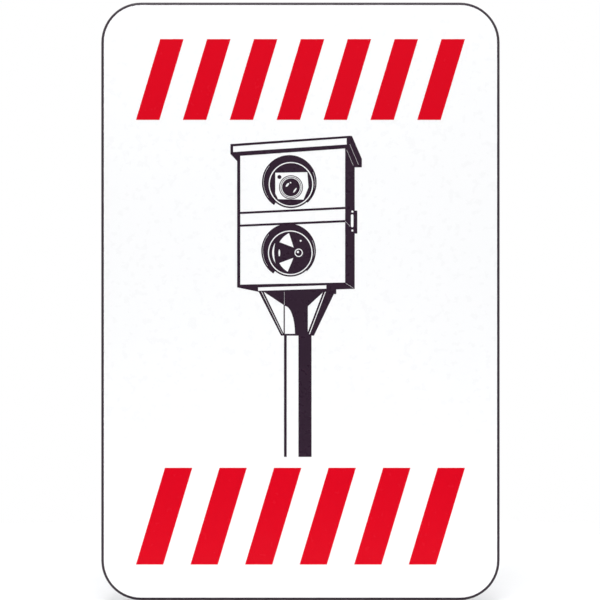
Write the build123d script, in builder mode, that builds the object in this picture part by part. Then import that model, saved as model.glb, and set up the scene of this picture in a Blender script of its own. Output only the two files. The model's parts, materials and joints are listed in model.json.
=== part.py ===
"""A post-mounted road warning sign.

A folded aluminium tray carries a printed face in front and two T-slot rails behind. Two clamps hold it
on a post.

Millimetres. The origin is the centre of the upper clamp's bore. +Z runs up the post, the face looks along -Y,
and +X is to the right of someone reading the sign.
"""

import math
import os

from build123d import *

# The face and its folded rim
face_width = 400.0
face_height = 600.0
corner_radius = 40.0
sheet = 2.0
rim_depth = 20.0
bend_radius = 2.5
hem_radius = 3.0
hem_leg = 3.0
rim_strip = 8.0
drain_hole_radius = 4.0
drain_hole_x = 100.0

# The films on the face; heights are above the sign's middle
film_thickness = 0.3
film_inset = 2.8
print_thickness = 0.15
heading_band = (182.0, 263.0)
heading_stripe_count = 7
footer_band = (-264.0, -167.0)
footer_stripe_count = 6
band_width = 330.0
stripe_slant = 0.3

# The blank label on the back of the sheet
label_width = 70.0
label_height = 40.0
label_corner = 3.0
label_right = 115.0
label_drop = 225.0

# The post and how the sign hangs on it
post_radius = 30.15
clamp_spacing = 350.0
saddle_seat = 6.85

# The T-slot rails
rail_length = 370.0
rail_width = 40.0
rail_depth = 20.0
rail_wall = 2.5
rail_edge_radius = 1.0
slot_width = 12.5
slot_rib = 2.0
cap_plate = 2.5
cap_plug = 10.0
cap_plug_wall = 1.5
cap_edge_radius = 0.8
cap_corner_radius = 2.0
fit_gap = 0.2

# The weld studs that hold the rails, measured from the sign's middle
stud_places = (-162.0, -132.0, 132.0, 162.0)
stud_radius = 3.0
stud_length = 12.0
stud_foot_radius = 3.75
stud_foot = 1.0
stud_nut_flats = 10.0
stud_nut_height = 6.0
stud_nut_flange_radius = 7.0
stud_nut_flange = 1.5

# The post clamps
clamp_width = 40.0
bolt_place = 47.0
bolt_radius = 4.0
bolt_end_y = 20.0
bolt_hole_radius = 4.5
head_length = 28.0
head_width = 11.0
head_height = 5.0
neck_width = 9.0
ear_end = 58.0
base_thickness = 5.0
seat_thickness = 4.5
saddle_top_y = -12.0
side_wall = 4.0
side_wall_x = 36.0
tip_block = 6.0
groove_radius = 0.8
groove_angles = (210, 230, 250, 290, 310, 330)
saddle_edge_radius = 1.0
clamp_edge = 0.5
strap_thickness = 4.0
strap_bend = 5.0
strap_corner_radius = 6.0
ear_back_y = -4.0

# Fasteners
bolt_end_chamfer = 0.8
head_corner_radius = 2.0
washer_edge = 0.3
washer_radius = 8.0
washer_hole_radius = 4.2
washer_thickness = 1.6
nut_flats = 13.0
nut_height = 6.5
lock_nut_hex = 6.0
lock_nut_height = 8.0
lock_nut_collar_radius = 5.9
lock_ring_radius = 5.2
lock_ring_height = 1.5
lock_collar_round = 0.5
thread_gap = 0.05
set_screw_length = 16.0
set_screw_tip_y = 30.6
set_screw_point = 1.8
set_screw_edge = 0.6
set_screw_socket_flats = 4.0
set_screw_socket_depth = 4.0
weld_nut_back_y = 41.0

# Depths that follow from the sizes above
rail_back_y = -(post_radius + saddle_seat)
rail_front_y = rail_back_y - rail_depth
sheet_front_y = rail_front_y - sheet
film_front_y = sheet_front_y - film_thickness
sign_middle_z = -clamp_spacing / 2
rail_cavity_back_y = rail_back_y - rail_wall
rail_cavity_front_y = rail_front_y + rail_wall
head_back_y = rail_cavity_back_y - slot_rib
strap_washer_back_y = ear_back_y + washer_thickness
base_back_y = rail_back_y + base_thickness
base_washer_back_y = base_back_y + washer_thickness

os.makedirs("parts", exist_ok=True)


def save(piece, name):
    """Label a finished piece and write it as its own STEP file."""
    piece.part.label = name
    export_step(piece.part, f"parts/{name}.step")


def facing(y):
    """The plane parallel to the face at depth y, centred on the sign, with its normal towards the reader."""
    return Plane(origin=(0, y, sign_middle_z), x_dir=(1, 0, 0), z_dir=(0, -1, 0))


def backing(y, level):
    """The plane at depth y and height level whose normal points backwards, away from the reader."""
    return Plane(origin=(0, y, level), x_dir=(-1, 0, 0), z_dir=(0, 1, 0))


def across(x, level):
    """The plane at x and height level whose normal is +X; its own x runs backwards and its own y up."""
    return Plane(origin=(x, 0, level), x_dir=(0, 1, 0), z_dir=(1, 0, 0))


# ---------------------------------------------------------------- the tray


def make_tray():
    """One sheet: a flat face, a bend all round, a flange, and a blunt rear edge hemmed inwards."""
    half_width = face_width / 2
    half_height = face_height / 2
    bottom = sign_middle_z - half_height
    hem_turn = rim_depth - hem_radius
    hem_inner = 2 * hem_radius - sheet

    with BuildPart() as tray:
        with BuildSketch(facing(sheet_front_y)):
            RectangleRounded(
                face_width - 2 * rim_strip,
                face_height - 2 * rim_strip,
                corner_radius - rim_strip,
            )
        extrude(amount=-sheet)
        with BuildLine(facing(sheet_front_y)) as half_outline:
            FilletPolyline(
                (0, -half_height),
                (-half_width, -half_height),
                (-half_width, half_height),
                (0, half_height),
                radius=corner_radius,
            )
        section = Plane(origin=(0, sheet_front_y, bottom), x_dir=(0, 0, 1), z_dir=(-1, 0, 0))
        with BuildSketch(section):
            with BuildLine():
                Polyline((rim_strip, sheet), (rim_strip, 0), (bend_radius, 0))
                RadiusArc((bend_radius, 0), (0, bend_radius), bend_radius)
                Line((0, bend_radius), (0, hem_turn))
                RadiusArc((0, hem_turn), (2 * hem_radius, hem_turn), hem_radius)
                Polyline(
                    (2 * hem_radius, hem_turn),
                    (2 * hem_radius, hem_turn - hem_leg),
                    (hem_inner, hem_turn - hem_leg),
                    (hem_inner, hem_turn),
                )
                RadiusArc((hem_inner, hem_turn), (sheet, hem_turn), -(hem_radius - sheet))
                Line((sheet, hem_turn), (sheet, bend_radius))
                RadiusArc((sheet, bend_radius), (bend_radius, sheet), -(bend_radius - sheet))
                Line((bend_radius, sheet), (rim_strip, sheet))
            make_face()
        sweep(path=half_outline.wire())
        mirror(about=Plane.YZ)
        with BuildSketch(Plane.XY.offset(bottom - sheet)):
            drain_y = sheet_front_y + rim_depth / 2 - sheet
            with Locations((-drain_hole_x, drain_y), (drain_hole_x, drain_y)):
                Circle(drain_hole_radius)
        extrude(amount=3 * sheet, mode=Mode.SUBTRACT)
    save(tray, "sign_tray")


def make_film():
    """The white retroreflective sheet. It stops at the bend, so the coated rim shows as a thin line."""
    with BuildPart() as film:
        with BuildSketch(facing(sheet_front_y)):
            RectangleRounded(
                face_width - 2 * film_inset,
                face_height - 2 * film_inset,
                corner_radius - film_inset,
            )
        extrude(amount=film_thickness)
    save(film, "face_film")


# ---------------------------------------------------------------- the red stripes


def make_stripes(name, count, low, high):
    """A band of slanting red stripes, as wide as their gaps, from low to high above the sign's middle."""
    slant = stripe_slant * (high - low)
    stripe = (band_width - slant) / (2 * count - 1)
    with BuildPart() as stripes:
        with BuildSketch(facing(film_front_y)):
            for number in range(count):
                left = 2 * number * stripe - band_width / 2
                Polygon(
                    (left, low),
                    (left + stripe, low),
                    (left + stripe + slant, high),
                    (left + slant, high),
                    align=None,
                )
        extrude(amount=print_thickness)
    save(stripes, name)


# ---------------------------------------------------------------- the camera pictogram
# Its points are (right, up) from the middle of the sign. The cabinet is drawn from a little below, so its
# level edges rise to the right, the upper ones more steeply.

cabinet_left = -63.5
cabinet_right = 44.8
cabinet_side = 54.4
cabinet_low = 14.0
cabinet_high = 152.0
rise_low = 0.019
rise_high = 0.073
outline_width = 2.7
cabinet_outline = 3.1
panel_line = 2.1
port_radius = 27.4
port_ring_radius = 22.4
port_ring_width = 1.1
port_edge = 1.5
port_shift = (1.7, -1.9)
hood_start = -48
hood_sweep = 284
hairline = 0.3
upper_port = (-11.2, 119.3)
lower_port = (-11.9, 50.6)
picture_post_left = -16.5
picture_post_right = 11.1
picture_post_shade = -2.0
picture_post_foot = -156.0
collar_low = -34.4


def on_front(right, up):
    """A point of the cabinet's front, where up is its height at the cabinet's left edge."""
    share = (up - cabinet_low) / (cabinet_high - cabinet_low)
    rise = rise_low + share * (rise_high - rise_low)
    return right, up + rise * (right - cabinet_left)


def front_panel(left, right, low, high, mode=Mode.ADD):
    """A four-sided patch of the cabinet's front."""
    Polygon(
        on_front(left, low),
        on_front(right, low),
        on_front(right, high),
        on_front(left, high),
        align=None,
        mode=mode,
    )


def disc(centre, radius, mode=Mode.ADD):
    """A round patch."""
    with Locations(centre):
        Circle(radius, mode=mode)


def draw_post():
    """The post: a thin line down its left side and its shaded right side."""
    width = picture_post_right - picture_post_left
    height = collar_low - picture_post_foot
    with Locations((picture_post_left + width / 2, picture_post_foot + height / 2)):
        Rectangle(width, height)
    light = picture_post_shade - picture_post_left - outline_width
    with Locations(
        (picture_post_shade - light / 2, picture_post_foot + height / 2)
    ):
        Rectangle(light, height, mode=Mode.SUBTRACT)


def draw_bracket():
    """The plate under the cabinet, its two struts and the collar on the post."""
    Polygon(
        (-42.5, 10.8),
        (35.9, 12.5),
        (35.9, 7.3),
        (33.5, 7.3),
        (13.5, collar_low),
        (-19.5, collar_low),
        align=None,
    )
    Polygon((-36.8, 9.6), (-16.9, -3.6), (-16.9, -32.2), align=None, mode=Mode.SUBTRACT)
    Polygon((-39.3, 9.8), (-38.8, 9.8), (-17.9, -32.8), (-18.4, -32.8), align=None, mode=Mode.SUBTRACT)
    Polygon((22.4, 8.9), (7.4, -5), (7.4, -31), align=None, mode=Mode.SUBTRACT)
    Polygon((24.6, 9.5), (25.5, 9.5), (9.4, -33), (8.5, -33), align=None, mode=Mode.SUBTRACT)
    hair((-16.2, 9.5), (-16.2, -4))
    with BuildLine() as collar:
        EllipticalCenterArc((-15.7, -32.6), 10.2, 28, start_angle=0, arc_size=90)
        Polyline((-15.7, -4.6), (-15.7, -32.6), (-5.5, -32.6))
    make_face(collar.edges(), mode=Mode.SUBTRACT)


def draw_cabinet():
    """The cabinet: a white front in two panels with a band between them, a dark side and a dark underside."""
    Polygon(
        (cabinet_left, cabinet_low),
        (-42.5, 9.7),
        (cabinet_side, 12.5),
        (cabinet_side, 140),
        on_front(cabinet_right, cabinet_high),
        on_front(cabinet_left, cabinet_high),
        align=None,
    )
    inner_left = cabinet_left + cabinet_outline
    for low, high in ((16.7, 74.7), (74.7 + panel_line, 87.4), (87.4 + panel_line, 145.7)):
        front_panel(inner_left, cabinet_right, low, high, Mode.SUBTRACT)
    Polygon((-42.5, 14), (26, 16.2), (26, 12.7), (-42.5, 10.5), align=None, mode=Mode.SUBTRACT)
    hair((44.8, 80.4), (49.9, 75.2))
    hair((45.4, 18.2), (53.6, 12.9))


def draw_roof():
    """The roof: a white front edge in a dark outline, a soffit on the left and a dark end on the right."""
    Polygon((-70.2, 147.4), (-70.2, 157.7), (48.4, 166), (48.4, 155), align=None)
    Polygon((-67.6, 149.7), (-67.6, 155.5), (46.4, 163.7), (46.4, 157.3), align=None, mode=Mode.SUBTRACT)
    Polygon((-70.2, 147.9), (-63.2, 140.3), (-60.9, 140.3), (-60.9, 148.5), align=None)
    Polygon(
        (44.7, 150),
        (48.4, 166),
        (51.6, 166),
        (61.6, 142.8),
        (61.6, 134.4),
        (54.3, 134.4),
        align=None,
    )
    hair((49.6, 157.4), (58.2, 137))
    hair((46.4, 152), (52.9, 136.4))


def draw_hinge():
    """The door hinge on the cabinet's side."""
    with Locations((55.5, 79.5)):
        Rectangle(3, 23)
    with Locations((51.9, 80.8)):
        SlotOverall(13, 2.6, rotation=90, mode=Mode.SUBTRACT)
    for up in (90, 71):
        disc((52.1, up), 1.1, Mode.SUBTRACT)


def hair(first, last):
    """A thin light line between two points of the drawing."""
    with BuildLine():
        line = Line(first, last)
    trace(line, line_width=hairline, mode=Mode.SUBTRACT)


def light_arc(centre, radius, start, sweep):
    """A thin light arc about centre."""
    with BuildLine():
        arc = CenterArc(centre, radius, start, sweep)
    trace(arc, line_width=hairline, mode=Mode.SUBTRACT)


def draw_port(centre):
    """A round window under a hood that stands off it. The middle of the glass is returned."""
    glass = (centre[0] + port_shift[0], centre[1] + port_shift[1])
    with BuildLine() as hood:
        rim = CenterArc(centre, port_radius, hood_start, hood_sweep)
        Polyline(rim @ 1, centre, rim @ 0)
    make_face(hood.edges())
    light_arc(centre, port_radius - port_edge, 140, 76)
    light_arc(centre, port_radius - port_edge, -36, 60)
    disc(glass, port_ring_radius + port_edge)
    disc(glass, port_ring_radius, Mode.SUBTRACT)
    disc(glass, port_ring_radius - port_ring_width)
    return glass


def draw_camera(glass):
    """A camera body behind the upper glass, with a ringed lens, its two glints and a small sensor."""
    lens = (glass[0], glass[1] - 3)
    with Locations(glass):
        Polygon(
            (-15.8, 11.6),
            (16.4, 12.2),
            (17.6, -3),
            (12.6, -15.4),
            (-13, -15),
            (-15.8, -9),
            align=None,
            mode=Mode.SUBTRACT,
        )
    for step, radius in enumerate((12, 11.2, 10.4, 9.8, 9)):
        disc(lens, radius, Mode.ADD if step % 2 == 0 else Mode.SUBTRACT)
    with Locations((lens[0] - 3.6, lens[1] + 2.4)):
        Ellipse(2.4, 1.0, rotation=50, mode=Mode.SUBTRACT)
    with Locations((lens[0] + 4, lens[1] - 3)):
        Ellipse(2.8, 0.8, rotation=55, mode=Mode.SUBTRACT)
    disc((lens[0] - 0.4, lens[1] + 4.6), 0.8, Mode.SUBTRACT)
    disc((glass[0] - 11.6, glass[1] + 7.3), 2)


def draw_reflector(glass):
    """A flash reflector behind the lower glass: its lamp, two bright fans and the glints along its rim."""
    lamp = (glass[0] + 8.4, glass[1])
    for first, last in ((116, 151), (208, 240)):
        outer = [polar(lamp, 22, angle) for angle in (first, (first + last) / 2, last)]
        near = polar(lamp, 7.2, (first + last) / 2)
        with BuildLine() as fan:
            Line(near, outer[0])
            ThreePointArc(*outer)
            Line(outer[2], near)
        make_face(fan.edges(), mode=Mode.SUBTRACT)
    with BuildLine() as crescent:
        CenterArc(glass, 18.2, 146, 70)
        ThreePointArc(polar(glass, 18.2, 146), polar(glass, 16.2, 181), polar(glass, 18.2, 216))
    make_face(crescent.edges(), mode=Mode.SUBTRACT)
    with Locations((glass[0] - 11, glass[1])):
        Ellipse(0.9, 3.6, mode=Mode.SUBTRACT)
    disc(lamp, 4.2, Mode.SUBTRACT)
    disc(lamp, 3.2)
    disc((lamp[0] - 0.8, lamp[1] + 0.8), 1.2, Mode.SUBTRACT)
    disc((lamp[0] + 2, lamp[1] + 12), 1.0, Mode.SUBTRACT)


def polar(centre, radius, degrees):
    """The point at that distance and angle from centre."""
    angle = math.radians(degrees)
    return centre[0] + radius * math.cos(angle), centre[1] + radius * math.sin(angle)


def make_pictogram():
    """The dark picture of a two-window camera cabinet on a post, painted in layers and cut from one film."""
    with BuildPart() as pictogram:
        with BuildSketch(facing(film_front_y)):
            draw_post()
            draw_bracket()
            draw_cabinet()
            draw_roof()
            draw_hinge()
            draw_camera(draw_port(upper_port))
            draw_reflector(draw_port(lower_port))
        extrude(amount=print_thickness)
    save(pictogram, "camera_pictogram")


# ---------------------------------------------------------------- rails and what holds them


def make_rail(name, level):
    """An extruded C rail along X, open to the back, with a rib each side of its slot."""
    with BuildPart() as rail:
        with BuildSketch(across(0, level)):
            with Locations((rail_front_y + rail_depth / 2, 0)):
                RectangleRounded(rail_depth, rail_width, rail_edge_radius)
                Rectangle(
                    rail_depth - 2 * rail_wall,
                    rail_width - 2 * rail_wall,
                    mode=Mode.SUBTRACT,
                )
            for side in (-1, 1):
                with Locations(
                    (
                        rail_cavity_back_y - slot_rib / 2,
                        side * (slot_width + slot_rib) / 2,
                    )
                ):
                    Rectangle(slot_rib, slot_rib)
            with Locations((rail_back_y - rail_wall / 2, 0)):
                Rectangle(2 * rail_wall, slot_width, mode=Mode.SUBTRACT)
        extrude(amount=rail_length / 2, both=True)
        with BuildSketch(backing(rail_front_y, level)):
            with Locations(*[(place, 0) for place in stud_places]):
                Circle(stud_foot_radius + fit_gap)
        extrude(amount=rail_wall, mode=Mode.SUBTRACT)
    save(rail, name)


def make_end_cap(name, level, side):
    """A moulded cap that closes one end of a rail, with a plug that stays clear of the slot's ribs."""
    end = side * rail_length / 2
    plug_front = rail_cavity_front_y + fit_gap
    plug_back = head_back_y - fit_gap
    plug_height = rail_width - 2 * rail_wall - 2 * fit_gap
    with BuildPart() as cap:
        with BuildSketch(across(end, level)):
            with Locations((rail_front_y + rail_depth / 2, 0)):
                RectangleRounded(rail_depth, rail_width, cap_corner_radius)
        extrude(amount=side * cap_plate)
        outer = cap.faces().sort_by(Axis.X)[-1 if side > 0 else 0]
        fillet(outer.edges(), cap_edge_radius)
        with BuildSketch(across(end, level)):
            with Locations(((plug_front + plug_back) / 2, 0)):
                Rectangle(plug_back - plug_front, plug_height)
                Rectangle(
                    plug_back - plug_front - 2 * cap_plug_wall,
                    plug_height - 2 * cap_plug_wall,
                    mode=Mode.SUBTRACT,
                )
        extrude(amount=-side * cap_plug)
    save(cap, name)


def make_weld_studs():
    """Studs welded to the back of the sheet, so that nothing shows on the face."""
    with BuildPart() as studs:
        for level in clamp_levels.values():
            with BuildSketch(backing(rail_front_y, level)):
                with Locations(*[(place, 0) for place in stud_places]):
                    Circle(stud_foot_radius)
            extrude(amount=stud_foot)
            with BuildSketch(backing(rail_front_y, level)):
                with Locations(*[(place, 0) for place in stud_places]):
                    Circle(stud_radius)
            extrude(amount=stud_length)
    save(studs, "weld_studs")


def make_stud_nuts():
    """A flanged nut on each weld stud, inside the rail."""
    seat_y = rail_cavity_front_y
    with BuildPart() as nuts:
        for level in clamp_levels.values():
            with BuildSketch(backing(seat_y, level)):
                with Locations(*[(place, 0) for place in stud_places]):
                    Circle(stud_nut_flange_radius)
            extrude(amount=stud_nut_flange)
            with BuildSketch(backing(seat_y, level)):
                with Locations(*[(place, 0) for place in stud_places]):
                    RegularPolygon(stud_nut_flats / 2, 6, major_radius=False)
            extrude(amount=stud_nut_height)
            with BuildSketch(backing(seat_y, level)):
                with Locations(*[(place, 0) for place in stud_places]):
                    Circle(stud_radius + thread_gap)
            extrude(amount=stud_nut_height, mode=Mode.SUBTRACT)
    save(nuts, "stud_nuts")


def make_label():
    """A plain sticker on the back of the sheet, with nothing on it."""
    with BuildPart() as label:
        with BuildSketch(backing(rail_front_y, sign_middle_z)):
            with Locations((-label_right, -label_drop)):
                RectangleRounded(label_width, label_height, label_corner)
        extrude(amount=print_thickness)
    save(label, "blank_label")


# ---------------------------------------------------------------- the post clamps


def make_saddle(name, level):
    """The front half of a clamp, an extrusion: a flat base on the rail, two walls and a seat for the post."""
    with BuildPart() as saddle:
        with BuildSketch(Plane.XY.offset(level)):
            Circle(post_radius + seat_thickness)
            for side in (-1, 1):
                with Locations(
                    (side * (side_wall_x - side_wall), saddle_top_y - tip_block / 2)
                ):
                    Rectangle(2 * side_wall, tip_block)
            with Locations((0, saddle_top_y + post_radius)):
                Rectangle(3 * post_radius, 2 * post_radius, mode=Mode.SUBTRACT)
            Circle(post_radius, mode=Mode.SUBTRACT)
            with Locations((0, rail_back_y + base_thickness / 2)):
                RectangleRounded(2 * ear_end, base_thickness, saddle_edge_radius)
            wall_height = saddle_top_y - rail_back_y
            for side in (-1, 1):
                with Locations(
                    (side * (side_wall_x - side_wall / 2), rail_back_y + wall_height / 2)
                ):
                    Rectangle(side_wall, wall_height)
        extrude(amount=clamp_width / 2, both=True)
        for end in saddle.faces().filter_by(Axis.Z):
            chamfer(end.outer_wire().edges(), clamp_edge)
        with BuildSketch(Plane.XY.offset(level)):
            with Locations(*[polar((0, 0), post_radius, degrees) for degrees in groove_angles]):
                Circle(groove_radius)
        extrude(amount=clamp_width / 2, both=True, mode=Mode.SUBTRACT)
        with BuildSketch(backing(rail_back_y, level)):
            with Locations((-bolt_place, 0), (bolt_place, 0)):
                Circle(bolt_hole_radius)
        extrude(amount=base_thickness, mode=Mode.SUBTRACT)
    save(saddle, name)


def make_t_bolts(name, level):
    """Two hammer-head bolts: the head lies across the rail's slot and its neck keeps it from turning."""
    with BuildPart() as bolts:
        for place in (-bolt_place, bolt_place):
            with BuildSketch(backing(head_back_y - head_height, level)):
                with Locations((place, 0)):
                    RectangleRounded(head_width, head_length, head_corner_radius)
            extrude(amount=head_height)
            with BuildSketch(backing(head_back_y, level)):
                with Locations((place, 0)):
                    Rectangle(neck_width, slot_width - 2 * fit_gap)
            extrude(amount=rail_back_y - head_back_y - fit_gap)
            with BuildSketch(backing(head_back_y, level)):
                with Locations((place, 0)):
                    Circle(bolt_radius)
            extrude(amount=bolt_end_y - head_back_y)
        ends = bolts.faces().sort_by(Axis.Y)[-2:]
        chamfer(ends.edges(), bolt_end_chamfer)
    save(bolts, name)


def make_washers(name, level, seat_y):
    """A pair of round washers on the bolts."""
    with BuildPart() as washers:
        with BuildSketch(backing(seat_y, level)):
            with Locations((-bolt_place, 0), (bolt_place, 0)):
                Circle(washer_radius)
                Circle(washer_hole_radius, mode=Mode.SUBTRACT)
        extrude(amount=washer_thickness)
        chamfer(washers.edges().filter_by(GeomType.CIRCLE).group_by(SortBy.RADIUS)[-1], washer_edge)
    save(washers, name)


def hexagon(place, seat_y, level, flats, height):
    """A hexagonal prism with its corners turned off at the far end, added to the part being built."""
    with BuildSketch(backing(seat_y, level)) as prism:
        with Locations((place, 0)):
            RegularPolygon(flats / 2, 6, major_radius=False)
    extrude(prism.sketch, amount=height)
    corner = flats / math.sqrt(3)
    drop = (corner - flats / 2) * math.tan(math.radians(30))
    with BuildSketch(across(-place, level)) as turning:
        Polygon(
            (seat_y + height - drop, corner),
            (seat_y + height, flats / 2),
            (seat_y + height, corner + 1),
            (seat_y + height - drop, corner + 1),
            align=None,
        )
    revolve(
        turning.sketch,
        axis=Axis((-place, 0, level), (0, 1, 0)),
        mode=Mode.SUBTRACT,
    )


def make_base_nuts(name, level):
    """The two plain nuts that hold the saddle down on the rail."""
    with BuildPart() as nuts:
        for place in (-bolt_place, bolt_place):
            hexagon(place, base_washer_back_y, level, nut_flats, nut_height)
        with BuildSketch(backing(base_washer_back_y, level)):
            with Locations((-bolt_place, 0), (bolt_place, 0)):
                Circle(bolt_radius + thread_gap)
        extrude(amount=nut_height, mode=Mode.SUBTRACT)
    save(nuts, name)


def make_lock_nut(name, level, side):
    """A self-locking nut behind the strap: a hexagon with a round collar that holds a locking ring."""
    place = -side * bolt_place
    seat_y = strap_washer_back_y
    with BuildPart() as nut:
        hexagon(place, seat_y, level, nut_flats, lock_nut_hex)
        with BuildSketch(backing(seat_y, level)):
            with Locations((place, 0)):
                Circle(lock_nut_collar_radius)
        extrude(amount=lock_nut_height)
        rim = nut.faces().sort_by(Axis.Y)[-1]
        fillet(rim.edges(), lock_collar_round)
        with BuildSketch(backing(seat_y + lock_nut_height - lock_ring_height, level)):
            with Locations((place, 0)):
                Circle(lock_ring_radius)
        extrude(amount=lock_ring_height, mode=Mode.SUBTRACT)
        with BuildSketch(backing(seat_y, level)):
            with Locations((place, 0)):
                Circle(bolt_radius + thread_gap)
        extrude(amount=lock_nut_height, mode=Mode.SUBTRACT)
    save(nut, name)


def make_lock_ring(name, level, side):
    """The nylon ring in a lock nut's collar, which grips the bolt's thread."""
    with BuildPart() as ring:
        with BuildSketch(backing(strap_washer_back_y + lock_nut_height - lock_ring_height, level)):
            with Locations((-side * bolt_place, 0)):
                Circle(lock_ring_radius)
                Circle(bolt_radius + thread_gap, mode=Mode.SUBTRACT)
        extrude(amount=lock_ring_height)
    save(ring, name)


def make_strap(name, level):
    """The rear half of a clamp: one steel strip bent round the post, with an ear each side for a bolt."""
    middle = post_radius + strap_thickness / 2
    ear_y = ear_back_y - strap_thickness / 2
    bend_x = middle + strap_bend
    bend_y = ear_y + strap_bend
    with BuildPart() as strap:
        with BuildSketch(Plane.XY.offset(level)):
            with BuildLine() as strip:
                Line((-ear_end, ear_y), (-bend_x, ear_y))
                CenterArc((-bend_x, bend_y), strap_bend, -90, 90)
                Line((-middle, bend_y), (-middle, 0))
                CenterArc((0, 0), middle, 180, -180)
                Line((middle, 0), (middle, bend_y))
                CenterArc((bend_x, bend_y), strap_bend, 180, 90)
                Line((bend_x, ear_y), (ear_end, ear_y))
            trace(strip.wire(), line_width=strap_thickness)
        extrude(amount=clamp_width / 2, both=True)
        corners = strap.edges().filter_by(Axis.Y).group_by(Axis.X)
        fillet(corners[0] + corners[-1], strap_corner_radius)
        with BuildSketch(backing(ear_back_y - strap_thickness, level)):
            with Locations((-bolt_place, 0), (bolt_place, 0)):
                Circle(bolt_hole_radius)
        extrude(amount=strap_thickness, mode=Mode.SUBTRACT)
        with BuildSketch(backing(0, level)):
            Circle(bolt_radius + fit_gap)
        extrude(amount=2 * post_radius, mode=Mode.SUBTRACT)
        ends = strap.faces().filter_by(Axis.Z).group_by(Axis.Z)
        fillet((ends[0] + ends[-1]).edges(), clamp_edge)
    save(strap, name)


def make_weld_nut(name, level):
    """The nut welded on the crown of the strap, shaped to the strap where it meets it."""
    with BuildPart() as nut:
        hexagon(0, post_radius, level, nut_flats, weld_nut_back_y - post_radius)
        with BuildSketch(Plane.XY.offset(level)):
            Circle(post_radius + strap_thickness)
        extrude(amount=clamp_width / 2, both=True, mode=Mode.SUBTRACT)
        with BuildSketch(backing(post_radius, level)):
            Circle(bolt_radius + thread_gap)
        extrude(amount=weld_nut_back_y - post_radius, mode=Mode.SUBTRACT)
    save(nut, name)


def make_set_screw(name, level):
    """The pointed screw that bites the post and keeps the sign from turning in the wind."""
    back_y = set_screw_tip_y + set_screw_length
    with BuildPart() as screw:
        with BuildSketch(backing(set_screw_tip_y, level)):
            Circle(bolt_radius)
        extrude(amount=set_screw_length)
        ends = screw.faces().sort_by(Axis.Y)
        chamfer(ends[0].edges(), set_screw_point)
        chamfer(ends[-1].edges(), set_screw_edge)
        with BuildSketch(backing(back_y - set_screw_socket_depth, level)):
            RegularPolygon(set_screw_socket_flats / 2, 6, major_radius=False)
        extrude(amount=set_screw_socket_depth, mode=Mode.SUBTRACT)
    save(screw, name)


# ---------------------------------------------------------------- the whole sign

clamp_levels = {"upper": 0.0, "lower": -clamp_spacing}
sides = {"left": -1, "right": 1}

make_tray()
make_film()
make_stripes("heading_stripes", heading_stripe_count, *heading_band)
make_stripes("footer_stripes", footer_stripe_count, *footer_band)
make_pictogram()
make_weld_studs()
make_stud_nuts()
make_label()
for height, level in clamp_levels.items():
    make_rail(f"{height}_rail", level)
    make_saddle(f"{height}_saddle", level)
    make_t_bolts(f"{height}_t_bolts", level)
    make_washers(f"{height}_base_washers", level, base_back_y)
    make_base_nuts(f"{height}_base_nuts", level)
    make_strap(f"{height}_strap", level)
    make_washers(f"{height}_strap_washers", level, ear_back_y)
    make_weld_nut(f"{height}_weld_nut", level)
    make_set_screw(f"{height}_set_screw", level)
    for hand, side in sides.items():
        make_end_cap(f"{height}_{hand}_end_cap", level, side)
        make_lock_nut(f"{height}_{hand}_lock_nut", level, side)
        make_lock_ring(f"{height}_{hand}_lock_ring", level, side)
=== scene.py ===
"""The looks of the road sign: its materials, threads, nuts and welds, and the studio round it. Metres."""
import json
import math
from collections import namedtuple

import bmesh
import bpy
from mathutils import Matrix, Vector


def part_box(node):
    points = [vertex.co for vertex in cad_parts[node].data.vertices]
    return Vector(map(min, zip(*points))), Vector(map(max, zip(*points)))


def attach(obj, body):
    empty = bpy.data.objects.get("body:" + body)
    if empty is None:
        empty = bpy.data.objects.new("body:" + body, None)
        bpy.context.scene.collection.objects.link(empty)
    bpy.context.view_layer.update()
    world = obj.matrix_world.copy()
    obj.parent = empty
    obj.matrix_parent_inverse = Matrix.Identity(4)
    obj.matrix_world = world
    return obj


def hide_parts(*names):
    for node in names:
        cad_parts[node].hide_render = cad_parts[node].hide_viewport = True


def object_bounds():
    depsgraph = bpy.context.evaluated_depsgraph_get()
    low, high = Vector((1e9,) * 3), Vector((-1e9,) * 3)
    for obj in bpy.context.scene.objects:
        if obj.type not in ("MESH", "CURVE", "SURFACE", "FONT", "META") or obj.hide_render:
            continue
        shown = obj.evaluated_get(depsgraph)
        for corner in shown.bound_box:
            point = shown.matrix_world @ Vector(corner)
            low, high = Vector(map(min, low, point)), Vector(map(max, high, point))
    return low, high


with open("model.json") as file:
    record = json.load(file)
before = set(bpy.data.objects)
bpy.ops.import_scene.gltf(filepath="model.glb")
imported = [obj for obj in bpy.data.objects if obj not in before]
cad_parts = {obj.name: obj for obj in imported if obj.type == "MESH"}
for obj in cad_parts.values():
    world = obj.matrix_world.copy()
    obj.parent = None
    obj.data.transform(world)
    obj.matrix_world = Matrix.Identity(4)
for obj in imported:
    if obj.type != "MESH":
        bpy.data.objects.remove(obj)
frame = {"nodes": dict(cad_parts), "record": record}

CAD_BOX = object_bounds()
NODES = frame["nodes"]
LEVELS = ("upper", "lower")
SIDES = ("left", "right")
SCENE = bpy.context.scene

# Threads: pitch and radii, then the points round a thread and its rows in one pitch
Thread = namedtuple("Thread", "pitch crest root")
M8 = Thread(0.00125, 0.00398, 0.0034)
M6 = Thread(0.001, 0.00298, 0.0025)
THREAD_SEGMENTS = 40
THREAD_ROWS = 8

# M8 nuts
NUT_FLATS = 0.013
NUT_FACE_SHARE = 0.955
NUT_CHAMFER_SLOPE = math.tan(math.radians(30))
NUT_BORE = 0.00405
COUNTERSINK = 0.00055
NUT_STEPS = 72

# The M6 studs welded behind the sheet, and their flanged nuts
STUD_SPACING = 0.03
STUD_FOOT = 0.001
STUD_FOOT_RADIUS = 0.00375
STUD_NUT_FLANGE = 0.007
STUD_NUT_FLATS = 0.01
STUD_NUT_BORE = 0.00305

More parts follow.
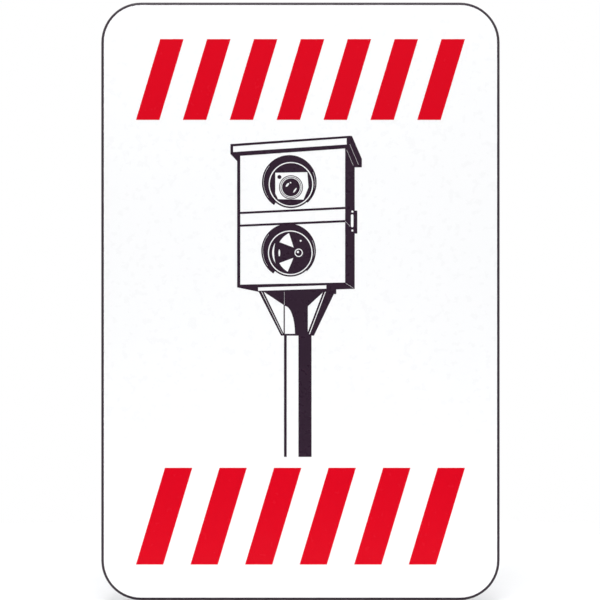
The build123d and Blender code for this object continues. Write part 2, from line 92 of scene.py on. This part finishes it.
# T-bolts; the sections are width, length and corner radius
BOLT_HEAD_WIDTH = 0.011
BOLT_HEAD_HEIGHT = 0.005
BOLT_NECK_LENGTH = 0.0043
BOLT_NECK_SECTION = (0.009, 0.0121, 0.0012)
BOLT_SHANK_SECTION = (0.0082, 0.0098, 0.0036)

# Softened edges, as turned and pressed fasteners have
FASTENER_EDGE = 0.00018
BEVEL_ANGLE = math.radians(28)
SHARP_ANGLE = math.radians(32)


# ---------------------------------------------------------------- material building blocks

# A Mix node's colour sockets: factor, first and second, and its result
MIX_COLOUR_INPUTS = (0, 6, 7)
MIX_COLOUR_OUTPUT = 2


def socket_name(keyword):
    """A Principled socket's name from a keyword, as in specular_ior_level."""
    return keyword.replace("_", " ").title().replace("Ior", "IOR")


def drawn_along(axis, along, across):
    """A texture's scale on each axis: along on the one named and across on the other two."""
    return tuple(along if name == axis else across for name in "xyz")


class Nodes:
    """A node tree, with short calls for the nodes that everything here is made of."""

    def __init__(self, tree, coordinates):
        self.tree = tree
        self.place = tree.nodes.new("ShaderNodeTexCoord").outputs[coordinates]

    def node(self, kind, **settings):
        made = self.tree.nodes.new(kind)
        for key, value in settings.items():
            setattr(made, key, value)
        return made

    def link(self, output, target):
        self.tree.links.new(output, target)

    def feed(self, socket, value):
        """Links an output to the socket, or sets the socket to a plain value."""
        if isinstance(value, bpy.types.NodeSocket):
            self.link(value, socket)
        else:
            socket.default_value = value

    def split(self, vector, axis):
        made = self.node("ShaderNodeSeparateXYZ")
        self.link(vector, made.inputs[0])
        return made.outputs["xyz".index(axis)]

    def stretched(self, scale, turn=(0, 0, 0)):
        """Object coordinates scaled along each axis, so that a texture runs along one of them."""
        mapping = self.node("ShaderNodeMapping")
        mapping.inputs["Scale"].default_value = scale
        mapping.inputs["Rotation"].default_value = turn
        self.link(self.place, mapping.inputs["Vector"])
        return mapping.outputs["Vector"]

    def noise(self, scale, detail=3.0, rough=0.5, place=None, distortion=0.0, output="Fac"):
        made = self.node("ShaderNodeTexNoise")
        made.inputs["Scale"].default_value = scale
        made.inputs["Detail"].default_value = detail
        made.inputs["Roughness"].default_value = rough
        made.inputs["Distortion"].default_value = distortion
        self.link(place or self.place, made.inputs["Vector"])
        return made.outputs[output]

    def cells(self, scale, place=None, output="Distance"):
        made = self.node("ShaderNodeTexVoronoi")
        made.inputs["Scale"].default_value = scale
        self.link(place or self.place, made.inputs["Vector"])
        return made.outputs[output]

    def ramp(self, value, *stops):
        """Colours or greys along value; each stop is (position, grey) or (position, (r, g, b))."""
        made = self.node("ShaderNodeValToRGB")
        elements = made.color_ramp.elements
        while len(elements) < len(stops):
            elements.new(0.5)
        for element, (position, colour) in zip(elements, stops):
            element.position = position
            rgb = (colour,) * 3 if isinstance(colour, (int, float)) else colour
            element.color = (*rgb, 1)
        self.link(value, made.inputs["Fac"])
        return made.outputs["Color"]

    def spread(self, value, low, high):
        """value, from 0 to 1, taken to the range from low to high."""
        made = self.node("ShaderNodeMapRange")
        made.inputs["To Min"].default_value = low
        made.inputs["To Max"].default_value = high
        self.link(value, made.inputs["Value"])
        return made.outputs["Result"]

    def mix(self, factor, first, second):
        """first where factor is 0 and second where it is 1; either may be a colour or an output."""
        made = self.node("ShaderNodeMix", data_type="RGBA")
        for index, value in zip(MIX_COLOUR_INPUTS, (factor, first, second)):
            self.feed(made.inputs[index], (*value, 1) if isinstance(value, tuple) else value)
        return made.outputs[MIX_COLOUR_OUTPUT]

    def maths(self, operation, *values):
        made = self.node("ShaderNodeMath", operation=operation)
        for socket, value in zip(made.inputs, values):
            self.feed(socket, value)
        return made.outputs[0]


class Material(Nodes):
    """A Principled material in object coordinates."""

    def __init__(self, name, **sockets):
        self.material = bpy.data.materials.new(name)
        self.material.use_nodes = True
        super().__init__(self.material.node_tree, "Object")
        self.shader = self.tree.nodes["Principled BSDF"]
        for socket, value in sockets.items():
            self.shader.inputs[socket_name(socket)].default_value = value

    def facing(self, axis):
        """0 to 1: how nearly the surface faces along the object's axis x, y or z, either way."""
        normal = self.node("ShaderNodeTexCoord").outputs["Normal"]
        return self.maths("ABSOLUTE", self.split(normal, axis))

    def bump(self, height, depth, strength, after=None):
        made = self.node("ShaderNodeBump")
        made.inputs["Strength"].default_value = strength
        made.inputs["Distance"].default_value = depth
        self.link(height, made.inputs["Height"])
        if after:
            self.link(after, made.inputs["Normal"])
        return made.outputs["Normal"]

    def set(self, **outputs):
        for socket, output in outputs.items():
            self.link(output, self.shader.inputs[socket_name(socket)])
        return self.material


# ---------------------------------------------------------------- the finishes


def powder_coat():
    """Satin dark powder coating: fine orange peel, a little dust and pale run marks."""
    m = Material("dark_powder_coat", specular_ior_level=0.22)
    mottle = m.noise(22, 5, 0.6)
    coat = m.mix(mottle, (0.031, 0.02, 0.029), (0.041, 0.028, 0.038))
    runs = m.noise(1, 4, 0.6, m.stretched(drawn_along("z", 9, 45)), 0.6)
    dust = m.ramp(runs, (0.48, 0.0), (0.8, 0.055))
    specks = m.ramp(m.noise(900, 2, 0.5), (0.68, 0.0), (0.8, 0.2))
    dusty = m.mix(m.maths("ADD", dust, specks), coat, (0.16, 0.15, 0.145))
    peel = m.bump(m.noise(520, 2, 0.45), 0.0002, 0.6)
    fine = m.bump(m.noise(2600, 2, 0.5), 0.00003, 0.5, peel)
    return m.set(base_color=dusty, roughness=m.spread(mottle, 0.28, 0.42), normal=fine)


def bead_grain(m):
    """The grain of glass beads under a film's clear surface, as two bumps."""
    beads = m.bump(m.cells(2100), 0.000012, 0.25)
    return m.bump(m.noise(70, 3, 0.5), 0.00005, 0.15, beads)


def white_film():
    """White retroreflective sheet: glass beads under a smooth clear film."""
    m = Material("white_retroreflective_film", specular_ior_level=0.3)
    beads = m.cells(2100)
    grain = m.mix(m.ramp(beads, (0.1, 0.0), (0.6, 1.0)), (0.915, 0.917, 0.915), (0.89, 0.893, 0.893))
    cloud = m.mix(m.ramp(m.noise(9, 4, 0.6), (0.4, 0.0), (0.75, 0.35)), grain, (0.885, 0.886, 0.882))
    return m.set(base_color=cloud, roughness=m.spread(m.noise(160, 3), 0.25, 0.31), normal=bead_grain(m))


def red_film():
    """Transparent red film over the beads."""
    m = Material("red_film", specular_ior_level=0.1)
    deep = m.mix(m.cells(2100), (0.665, 0.0, 0.009), (0.63, 0.0, 0.012))
    cloud = m.mix(m.ramp(m.noise(14, 4, 0.6), (0.45, 0.0), (0.8, 0.3)), deep, (0.61, 0.002, 0.013))
    return m.set(base_color=cloud, roughness=m.spread(m.noise(160, 3), 0.22, 0.3), normal=bead_grain(m))


def dark_film():
    """Dark cut film."""
    m = Material("dark_film", specular_ior_level=0.18)
    tone = m.mix(m.noise(30, 4, 0.6), (0.022, 0.009, 0.021), (0.03, 0.015, 0.028))
    return m.set(base_color=tone, roughness=m.spread(m.noise(160, 3), 0.24, 0.32), normal=bead_grain(m))


def extruded_aluminium(name, along, sawn):
    """Mill-finish extrusion: die lines along one axis, saw marks across its ends and soft oxide clouds."""
    m = Material(name, metallic=1.0)
    lines = m.noise(1, 4, 0.7, m.stretched(drawn_along(along, 4, 1500)))
    broad = m.noise(1, 2, 0.5, m.stretched(drawn_along(along, 2, 260)))
    saw = m.noise(1, 3, 0.7, m.stretched(drawn_along(sawn, 14, 900), (0.12, 0.1, 0.08)))
    cut_end = m.ramp(m.facing(along), (0.7, 0.0), (0.8, 1.0))
    marks = m.mix(cut_end, lines, saw)
    cloud = m.noise(28, 4, 0.6)
    metal = m.mix(cloud, (0.66, 0.665, 0.67), (0.82, 0.825, 0.83))
    metal = m.mix(m.ramp(broad, (0.35, 0.0), (0.7, 0.6)), metal, (0.55, 0.555, 0.565))
    metal = m.mix(m.ramp(marks, (0.48, 0.0), (0.7, 0.5)), metal, (0.48, 0.485, 0.49))
    rough = m.maths("ADD", m.spread(cloud, 0.24, 0.4), m.spread(marks, -0.06, 0.12))
    return m.set(base_color=metal, roughness=rough, normal=m.bump(marks, 0.00006, 0.7))


def galvanised_steel():
    """Hot-dip zinc: irregular spangles that differ in brightness and gloss, with dull grey patches."""
    m = Material("galvanised_steel", metallic=0.92)
    offset = m.node("ShaderNodeVectorMath", operation="SCALE")
    offset.inputs["Scale"].default_value = 0.0022
    m.link(m.noise(260, 2.0, output="Color"), offset.inputs[0])
    moved = m.node("ShaderNodeVectorMath", operation="ADD")
    m.link(m.place, moved.inputs[0])
    m.link(offset.outputs["Vector"], moved.inputs[1])
    tint = m.node("ShaderNodeSeparateColor")
    m.link(m.cells(210, moved.outputs["Vector"], output="Color"), tint.inputs[0])
    spangle = m.mix(tint.outputs[0], (0.55, 0.57, 0.59), (0.76, 0.78, 0.8))
    feather = m.mix(m.ramp(m.noise(900, 3, 0.7), (0.35, 0.0), (0.7, 0.3)), spangle, (0.62, 0.64, 0.66))
    patches = m.ramp(m.noise(45, 5, 0.65), (0.5, 0.0), (0.72, 0.7))
    zinc = m.mix(patches, feather, (0.48, 0.49, 0.5))
    rough = m.maths("ADD", m.spread(tint.outputs[1], 0.24, 0.42), m.spread(patches, 0.0, 0.2))
    uneven = m.bump(m.noise(150, 4, 0.6), 0.00012, 0.35)
    grains = m.bump(tint.outputs[2], 0.00002, 0.3, uneven)
    return m.set(base_color=zinc, roughness=rough, normal=grains)


def stainless_steel():
    """Cold-formed stainless fasteners: slightly warm, with handling marks."""
    m = Material("stainless_steel", metallic=1.0)
    cloud = m.noise(240, 4, 0.6)
    metal = m.mix(cloud, (0.56, 0.55, 0.535), (0.73, 0.72, 0.7))
    grease = m.mix(m.ramp(m.noise(520, 3, 0.6), (0.58, 0.0), (0.74, 0.5)), metal, (0.3, 0.29, 0.28))
    marks = m.bump(m.noise(1, 3, 0.7, m.stretched(drawn_along("y", 700, 2600))), 0.00002, 0.35)
    return m.set(base_color=grease, roughness=m.spread(cloud, 0.2, 0.36), normal=marks)


def black_plastic():
    """Moulded caps with a spark-eroded texture and scuffed high spots."""
    m = Material("black_moulded_plastic", specular_ior_level=0.4)
    scuff = m.ramp(m.noise(60, 5, 0.7), (0.52, 0.0), (0.75, 0.5))
    tone = m.mix(scuff, (0.018, 0.018, 0.019), (0.05, 0.05, 0.052))
    grain = m.bump(m.noise(1900, 2, 0.5), 0.00006, 0.5)
    return m.set(base_color=tone, roughness=m.spread(scuff, 0.42, 0.6), normal=grain)


def nylon():
    """Natural nylon."""
    m = Material("natural_nylon", specular_ior_level=0.5)
    tone = m.mix(m.noise(300, 3), (0.7, 0.69, 0.63), (0.8, 0.79, 0.74))
    turned = m.bump(m.noise(1500, 2), 0.00003, 0.4)
    return m.set(base_color=tone, roughness=m.spread(m.noise(500, 2), 0.35, 0.5), normal=turned)


def silver_label():
    """A blank satin sticker, a little creased."""
    m = Material("blank_silver_label", metallic=0.35)
    tone = m.mix(m.noise(40, 4, 0.6), (0.5, 0.505, 0.51), (0.6, 0.605, 0.61))
    crease = m.bump(m.noise(55, 3, 0.6), 0.0003, 0.35)
    return m.set(base_color=tone, roughness=m.spread(m.noise(240, 3), 0.3, 0.45), normal=crease)


def weld_metal():
    """A galvanised weld bead: coarse, dull and a little darker than the strap."""
    m = Material("weld_metal", metallic=0.85)
    tone = m.mix(m.noise(700, 4, 0.6), (0.3, 0.31, 0.32), (0.5, 0.51, 0.52))
    coarse = m.bump(m.noise(900, 3, 0.6), 0.00015, 0.5)
    return m.set(base_color=tone, roughness=m.spread(m.noise(400, 3), 0.35, 0.6), normal=coarse)


FINISHES = {
    "coated_sheet": powder_coat(),
    "white_film": white_film(),
    "red_print": red_film(),
    "dark_print": dark_film(),
    "rail_metal": extruded_aluminium("extruded_rail", "x", "y"),
    "saddle_metal": extruded_aluminium("extruded_saddle", "z", "x"),
    "galvanised": galvanised_steel(),
    "stainless": stainless_steel(),
    "stud_metal": extruded_aluminium("aluminium_studs", "y", "x"),
    "nylon": nylon(),
    "black_plastic": black_plastic(),
    "label": silver_label(),
}
WELD = weld_metal()


def finish_cad_nodes():
    """Gives every CAD node the finish of its slot in the record."""
    for part in frame["record"]["subparts"]:
        mesh = NODES[part["node"]].data
        mesh.materials.clear()
        mesh.materials.append(FINISHES[part["material_slot"]])


# ---------------------------------------------------------------- mesh building blocks


def about_y(centre, radius, angle, along):
    """The point at angle round the line through centre along Y, counted from +Z towards +X."""
    return Vector((centre.x + radius * math.sin(angle), along, centre.z + radius * math.cos(angle)))


def ring(mesh, points):
    return [mesh.verts.new(point) for point in points]


def rings_round(mesh, centre, profile, steps):
    """Rings round the line through centre along Y; profile(angle) gives each one's radius and place on Y."""
    angles = [2 * math.pi * step / steps for step in range(steps)]
    rings = []
    for layer in zip(*(profile(angle) for angle in angles)):
        points = [about_y(centre, radius, angle, along) for angle, (radius, along) in zip(angles, layer)]
        rings.append(ring(mesh, points))
    return rings


def skin(mesh, rings, closed=False):
    """Bands of quads between rings of as many points, and from the last back to the first if closed."""
    following = rings[1:] + rings[:1] if closed else rings[1:]
    for first, second in zip(rings, following):
        for i in range(len(first)):
            j = (i + 1) % len(first)
            mesh.faces.new((first[i], first[j], second[j], second[i]))


def cone(mesh, around, tip):
    """Triangles from a ring to one point."""
    point = mesh.verts.new(tip)
    for first, second in zip(around, around[1:] + around[:1]):
        mesh.faces.new((first, second, point))


def rounded_rectangle(centre, width, height, radius, along):
    """A rounded rectangle across Y, width along X and height along Z, with a thread's number of points."""
    points = []
    steps = THREAD_SEGMENTS // 4 - 1
    for corner_x, corner_z, first in ((1, 1, 0), (1, -1, 90), (-1, -1, 180), (-1, 1, 270)):
        corner = centre + Vector((corner_x * (width / 2 - radius), 0, corner_z * (height / 2 - radius)))
        for step in range(steps + 1):
            points.append(about_y(corner, radius, math.radians(first + 90 * step / steps), along))
    return points


def finished_piece(name, mesh, body, slot, edge=FASTENER_EDGE):
    """An object from a bmesh, with its slot's finish and its sharp edges softened, riding on its body."""
    bmesh.ops.recalc_face_normals(mesh, faces=mesh.faces)
    data = bpy.data.meshes.new(name)
    mesh.to_mesh(data)
    mesh.free()
    for face in data.polygons:
        face.use_smooth = True
    data.set_sharp_from_angle(angle=SHARP_ANGLE)
    data.materials.append(FINISHES[slot])
    piece = bpy.data.objects.new(name, data)
    SCENE.collection.objects.link(piece)
    if edge:
        bevel = piece.modifiers.new("softened_edges", "BEVEL")
        bevel.width = edge
        bevel.segments = 2
        bevel.limit_method = "ANGLE"
        bevel.angle_limit = BEVEL_ANGLE
    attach(piece, body)
    return piece


# ---------------------------------------------------------------- profiles of threads and nuts


def thread_radius(thread, turns):
    """The thread's radius at a phase in turns: a 60 degree flank each side of a narrow crest."""
    saw = abs(2 * (turns % 1.0) - 1)
    flank = min(max((saw - 0.12) / 0.76, 0.0), 1.0)
    return thread.root + (thread.crest - thread.root) * flank


def thread_profile(thread, start, end, lead_in):
    """A right-handed thread from start to end along Y, tapered over the length of lead_in at its end."""
    rows = round((end - start) / thread.pitch * THREAD_ROWS)
    places = [start + (end - start) * row / rows for row in range(rows + 1)]

    def profile(angle):
        layers = []
        for along in places:
            taper = max(0.0, 1 - (end - along) / lead_in)
            limit = thread.crest - 0.75 * lead_in * taper
            turns = along / thread.pitch - angle / (2 * math.pi)
            layers.append((min(thread_radius(thread, turns), limit), along))
        return layers

    return profile


def hexagon_radius(angle, flats):
    """The distance from a hexagon's middle to its side in a direction; its corners include +X and -X."""
    half_sector = math.radians(30)
    return flats / 2 / math.cos((angle + half_sector) % (2 * half_sector) - half_sector)


def nut_side(angle, flats):
    """A hexagon nut in one direction: its face's radius, its side's radius, and the chamfer's fall."""
    face = NUT_FACE_SHARE * flats / 2
    side = hexagon_radius(angle, flats)
    return face, side, (side - face) * NUT_CHAMFER_SLOPE


def plain_nut_profile(low, high):
    """A hexagon nut from low to high along Y, chamfered at both faces, with a countersunk bore."""

    def profile(angle):
        face, side, fall = nut_side(angle, NUT_FLATS)
        return [
            (NUT_BORE, low + COUNTERSINK),
            (NUT_BORE + COUNTERSINK, low),
            (face, low),
            (side, low + fall),
            (side, high - fall),
            (face, high),
            (NUT_BORE + COUNTERSINK, high),
            (NUT_BORE, high - COUNTERSINK),
        ]

    return profile


def flanged_nut_profile(low, high):
    """An M6 nut with a round flange, from low to high along Y."""
    flange = STUD_NUT_FLANGE

    def profile(angle):
        face, side, fall = nut_side(angle, STUD_NUT_FLATS)
        return [
            (STUD_NUT_BORE, low + COUNTERSINK),
            (STUD_NUT_BORE + COUNTERSINK, low),
            (flange - 0.0002, low),
            (flange, low + 0.0002),
            (flange, low + 0.0007),
            (flange - 0.0003, low + 0.001),
            (side, low + 0.0016),
            (side, high - fall),
            (face, high),
            (STUD_NUT_BORE + COUNTERSINK, high),
            (STUD_NUT_BORE, high - COUNTERSINK),
        ]

    return profile


def lock_nut_profile(low, high):
    """A hexagon, then a round collar whose lip is rolled over the seat of the nylon ring."""
    hexagon_end = low + 0.006
    collar = 0.0059
    ring_seat = 0.0052
    ring_depth = 0.0015

    def profile(angle):
        face, side, fall = nut_side(angle, NUT_FLATS)
        return [
            (NUT_BORE, low + COUNTERSINK),
            (NUT_BORE + COUNTERSINK, low),
            (face, low),
            (side, low + fall),
            (side, hexagon_end - (side - collar) * NUT_CHAMFER_SLOPE),
            (collar, hexagon_end),
            (collar, high - 0.0007),
            (collar - 0.00025, high - 0.0002),
            (collar - 0.0006, high),
            (ring_seat, high - ring_depth),
            (NUT_BORE, high - ring_depth),
        ]

    return profile


# ---------------------------------------------------------------- the fasteners


def bolt_centre(level, side):
    """The axis of a T-bolt, as a point on it."""
    low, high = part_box(f"{level}_t_bolts")
    inward = BOLT_HEAD_WIDTH / 2
    return Vector((low.x + inward if side == "left" else high.x - inward, 0, (low.z + high.z) / 2))


def t_bolt(level, side):
    """A hammer-head bolt: a forged head, a neck that fits the slot, and a threaded shank."""
    node = f"{level}_t_bolts"
    low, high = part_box(node)
    centre = bolt_centre(level, side)
    head_length = high.z - low.z
    head_back = low.y + BOLT_HEAD_HEIGHT
    neck_end = head_back + BOLT_NECK_LENGTH
    sections = (  # width, length, corner radius, place on Y
        (BOLT_HEAD_WIDTH - 0.0012, head_length - 0.0012, 0.0016, low.y),
        (BOLT_HEAD_WIDTH, head_length, 0.002, low.y + 0.0006),
        (BOLT_HEAD_WIDTH, head_length, 0.002, head_back - 0.0003),
        (BOLT_HEAD_WIDTH - 0.0005, head_length - 0.0005, 0.0018, head_back),
        (*BOLT_NECK_SECTION, head_back),
        (*BOLT_NECK_SECTION, neck_end - 0.0006),
        (*BOLT_SHANK_SECTION, neck_end),
    )
    mesh = bmesh.new()
    rings = [ring(mesh, rounded_rectangle(centre, *section)) for section in sections]
    rings += rings_round(mesh, centre, thread_profile(M8, neck_end, high.y, 0.0011), THREAD_SEGMENTS)
    skin(mesh, rings)
    mesh.faces.new(rings[0])
    mesh.faces.new(rings[-1])
    bolt = finished_piece(f"{level}_{side}_threaded_bolt", mesh, f"{level}_clamp", "stainless", edge=0)
    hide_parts(node)


def base_nut(level, side):
    """A plain nut on the saddle's base."""
    node = f"{level}_base_nuts"
    low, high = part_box(node)
    mesh = bmesh.new()
    profile = plain_nut_profile(low.y, high.y)
    skin(mesh, rings_round(mesh, bolt_centre(level, side), profile, NUT_STEPS), closed=True)
    nut = finished_piece(f"{level}_{side}_base_nut", mesh, f"{level}_clamp", "stainless")
    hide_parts(node)


def lock_nut(level, side):
    """A self-locking nut on the strap's ear."""
    node = f"{level}_{side}_lock_nut"
    low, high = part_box(node)
    mesh = bmesh.new()
    profile = lock_nut_profile(low.y, high.y)
    skin(mesh, rings_round(mesh, (low + high) / 2, profile, NUT_STEPS), closed=True)
    nut = finished_piece(f"{level}_{side}_collared_nut", mesh, f"{level}_{side}_nut", "stainless")
    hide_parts(node)


def weld_nut(level):
    """The nut on the strap's crown, its foot cut to the strap's curve, and the weld bead round it."""
    node = f"{level}_weld_nut"
    body = f"{level}_clamp_strap"
    low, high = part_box(node)
    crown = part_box(f"{level}_strap")[1].y
    centre = Vector((0, 0, (low.z + high.z) / 2))
    bead_radius = 0.00125
    bead_steps = 220
    bead_points = 12

    def on_strap(radius, angle):
        """The strap's surface on Y, at a point round the nut's axis."""
        return math.sqrt(crown ** 2 - (radius * math.sin(angle)) ** 2)

    def nut_profile(angle):
        face, side, fall = nut_side(angle, NUT_FLATS)
        return [
            (NUT_BORE, on_strap(NUT_BORE, angle)),
            (side, on_strap(side, angle)),
            (side, high.y - fall),
            (face, high.y),
            (NUT_BORE + COUNTERSINK, high.y),
            (NUT_BORE, high.y - COUNTERSINK),
        ]

    def bead_profile(angle):
        radius = 0.985 * hexagon_radius(angle, NUT_FLATS)
        ripple = 0.14 * math.sin(38 * angle)
        unevenness = 0.07 * math.sin(5 * angle + 1) + 0.05 * math.sin(11 * angle + 2)
        size = bead_radius * (1 + ripple + unevenness)
        middle = on_strap(radius, angle) + 0.0001
        turns = [2 * math.pi * turn / bead_points for turn in range(bead_points)]
        return [(radius + size * math.cos(turn), middle + 0.85 * size * math.sin(turn)) for turn in turns]

    mesh = bmesh.new()
    skin(mesh, rings_round(mesh, centre, nut_profile, NUT_STEPS), closed=True)
    nut = finished_piece(f"{level}_welded_nut", mesh, body, "galvanised")
    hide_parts(node)

    bead = bmesh.new()
    skin(bead, rings_round(bead, centre, bead_profile, bead_steps), closed=True)
    weld = finished_piece(f"{level}_weld_bead", bead, body, "galvanised", edge=0)
    weld.data.materials[0] = WELD


def set_screw(level):
    """The locking screw: a cone point, a thread, and a hexagon socket with a drilled bottom."""
    node = f"{level}_set_screw"
    low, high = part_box(node)
    centre = Vector((0, 0, (low.z + high.z) / 2))
    thread_start = low.y + 0.0018
    socket_flats = 0.004
    socket_bottom = high.y - 0.004
    thread = thread_profile(M8, thread_start, high.y, 0.0008)

    def profile(angle):
        socket = hexagon_radius(angle, socket_flats)
        return [
            (0.0018, low.y),
            (0.0031, thread_start - 0.0004),
            *thread(angle),
            (0.0028, high.y),
            (socket, high.y - 0.0004),
            (socket, socket_bottom),
        ]

    mesh = bmesh.new()
    rings = rings_round(mesh, centre, profile, THREAD_SEGMENTS)
    skin(mesh, rings)
    mesh.faces.new(rings[0])
    cone(mesh, rings[-1], (centre.x, socket_bottom - 0.0006, centre.z))
    screw = finished_piece(f"{level}_pointed_screw", mesh, f"{level}_screw", "stainless", edge=0)
    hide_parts(node)


def stud_centres():
    """The studs' axes: two near each end of each rail."""
    low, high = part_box("weld_studs")
    centres = []
    for z in (low.z + STUD_FOOT_RADIUS, high.z - STUD_FOOT_RADIUS):
        for x in (low.x + STUD_FOOT_RADIUS, high.x - STUD_FOOT_RADIUS):
            inward = -math.copysign(STUD_SPACING, x)
            centres += [Vector((x, 0, z)), Vector((x + inward, 0, z))]
    return centres


def weld_studs():
    """The threaded studs, each on its welded foot."""
    low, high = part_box("weld_studs")
    thread = thread_profile(M6, low.y + STUD_FOOT, high.y, 0.0008)
    mesh = bmesh.new()

    def profile(angle):
        return [
            (STUD_FOOT_RADIUS, low.y),
            (STUD_FOOT_RADIUS, low.y + 0.7 * STUD_FOOT),
            (M6.crest + 0.0002, low.y + STUD_FOOT),
            *thread(angle),
        ]

    for centre in stud_centres():
        rings = rings_round(mesh, centre, profile, THREAD_SEGMENTS)
        skin(mesh, rings)
        mesh.faces.new(rings[0])
        mesh.faces.new(rings[-1])
    studs = finished_piece("threaded_weld_studs", mesh, "sign", "stud_metal", edge=0)
    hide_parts("weld_studs")


def stud_nuts():
    """The flanged nuts on the studs."""
    low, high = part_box("stud_nuts")
    profile = flanged_nut_profile(low.y, high.y)
    mesh = bmesh.new()
    for centre in stud_centres():
        skin(mesh, rings_round(mesh, centre, profile, NUT_STEPS), closed=True)
    nuts = finished_piece("flanged_stud_nuts", mesh, "sign", "stainless")
    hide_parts("stud_nuts")


def make_fasteners():
    weld_studs()
    stud_nuts()
    for level in LEVELS:
        for side in SIDES:
            t_bolt(level, side)
            base_nut(level, side)
            lock_nut(level, side)
        weld_nut(level)
        set_screw(level)


# ---------------------------------------------------------------- studio

# What the camera sees across the face, its lens and sensor, and its shift in frame widths
FRAME_WIDTH = 0.6019
LENS = 0.135
SENSOR = 0.036
SHIFT = (-0.00075, 0.0022)

# The floor: its distance below the sign and half its side
FLOOR_GAP = 0.002
FLOOR_REACH = 0.9


def make_camera():
    """A long lens square on to the face, at the sign's middle height."""
    low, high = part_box("sign_tray")
    middle = (low + high) / 2
    data = bpy.data.cameras.new("camera")
    data.lens = LENS * 1000
    data.sensor_width = SENSOR * 1000
    data.shift_x, data.shift_y = SHIFT
    camera = bpy.data.objects.new("camera", data)
    camera.location = (middle.x, low.y - FRAME_WIDTH * LENS / SENSOR, middle.z)
    camera.rotation_euler = (math.radians(90), 0, 0)
    SCENE.collection.objects.link(camera)
    SCENE.camera = camera


def make_floor():
    """A pale matt floor just under the sign, which fades away before its edges."""
    m = Material("pale_floor", specular_ior_level=0.1)
    tone = m.mix(m.noise(3, 3), (0.76, 0.76, 0.76), (0.74, 0.74, 0.74))
    distance = m.node("ShaderNodeVectorMath", operation="LENGTH")
    m.link(m.stretched((1 / FLOOR_REACH, 1 / FLOOR_REACH, 0)), distance.inputs[0])
    fade = m.ramp(distance.outputs["Value"], (0.25, 1.0), (0.95, 0.0))
    material = m.set(base_color=tone, roughness=m.spread(m.noise(30, 2), 0.7, 0.8), alpha=fade)

    level = CAD_BOX[0].z - FLOOR_GAP
    corners = ((-1, -1), (1, -1), (1, 1), (-1, 1))
    mesh = bpy.data.meshes.new("floor")
    mesh.from_pydata([(x * FLOOR_REACH, y * FLOOR_REACH, level) for x, y in corners], [], [(0, 1, 2, 3)])
    mesh.materials.append(material)
    floor = bpy.data.objects.new("floor", mesh)
    SCENE.collection.objects.link(floor)


def make_lights():
    """Large soft panels in front, above and behind, all turned to the sign's middle."""
    target = Vector((0, 0, (CAD_BOX[0].z + CAD_BOX[1].z) / 2))
    panels = (  # name, place, side, power
        ("front_left_panel", (-2.0, -2.1, 0.6), 1.5, 18),
        ("front_right_panel", (2.0, -2.1, 0.6), 1.5, 18.5),
        ("front_top_panel", (-0.1, -1.05, 1.3), 0.9, 16),
        ("back_left_panel", (1.8, 1.9, 1.75), 1.3, 36),
        ("back_right_panel", (-1.8, 1.9, 1.75), 1.3, 28),
        ("top_panel", (0, 0.7, 2.3), 1.6, 10),
    )
    for name, place, side, power in panels:
        data = bpy.data.lights.new(name, "AREA")
        data.shape = "SQUARE"
        data.size = side
        data.energy = power
        light = bpy.data.objects.new(name, data)
        light.visible_camera = False
        light.location = place
        light.rotation_euler = (target - Vector(place)).to_track_quat("-Z", "Y").to_euler()
        SCENE.collection.objects.link(light)


def make_surroundings():
    """Even pale surroundings, darker towards the ground, which the camera itself sees as white."""
    world = bpy.data.worlds.new("pale_surrounding")
    world.use_nodes = True
    world.node_tree.nodes.clear()
    SCENE.world = world
    n = Nodes(world.node_tree, "Generated")
    height = n.maths("MULTIPLY_ADD", n.split(n.place, "z"), 0.5, 0.5)
    tone = n.ramp(height, (0.38, (0.14, 0.14, 0.145)), (0.75, (0.8, 0.81, 0.83)))
    seen = n.node("ShaderNodeLightPath").outputs["Is Camera Ray"]
    background = n.node("ShaderNodeBackground")
    n.link(n.mix(seen, tone, (1.0, 1.0, 1.0)), background.inputs["Color"])
    n.link(background.outputs[0], n.node("ShaderNodeOutputWorld").inputs["Surface"])
    SCENE.view_settings.view_transform = "Standard"


finish_cad_nodes()
make_fasteners()
make_floor()
make_lights()
make_surroundings()
make_camera()
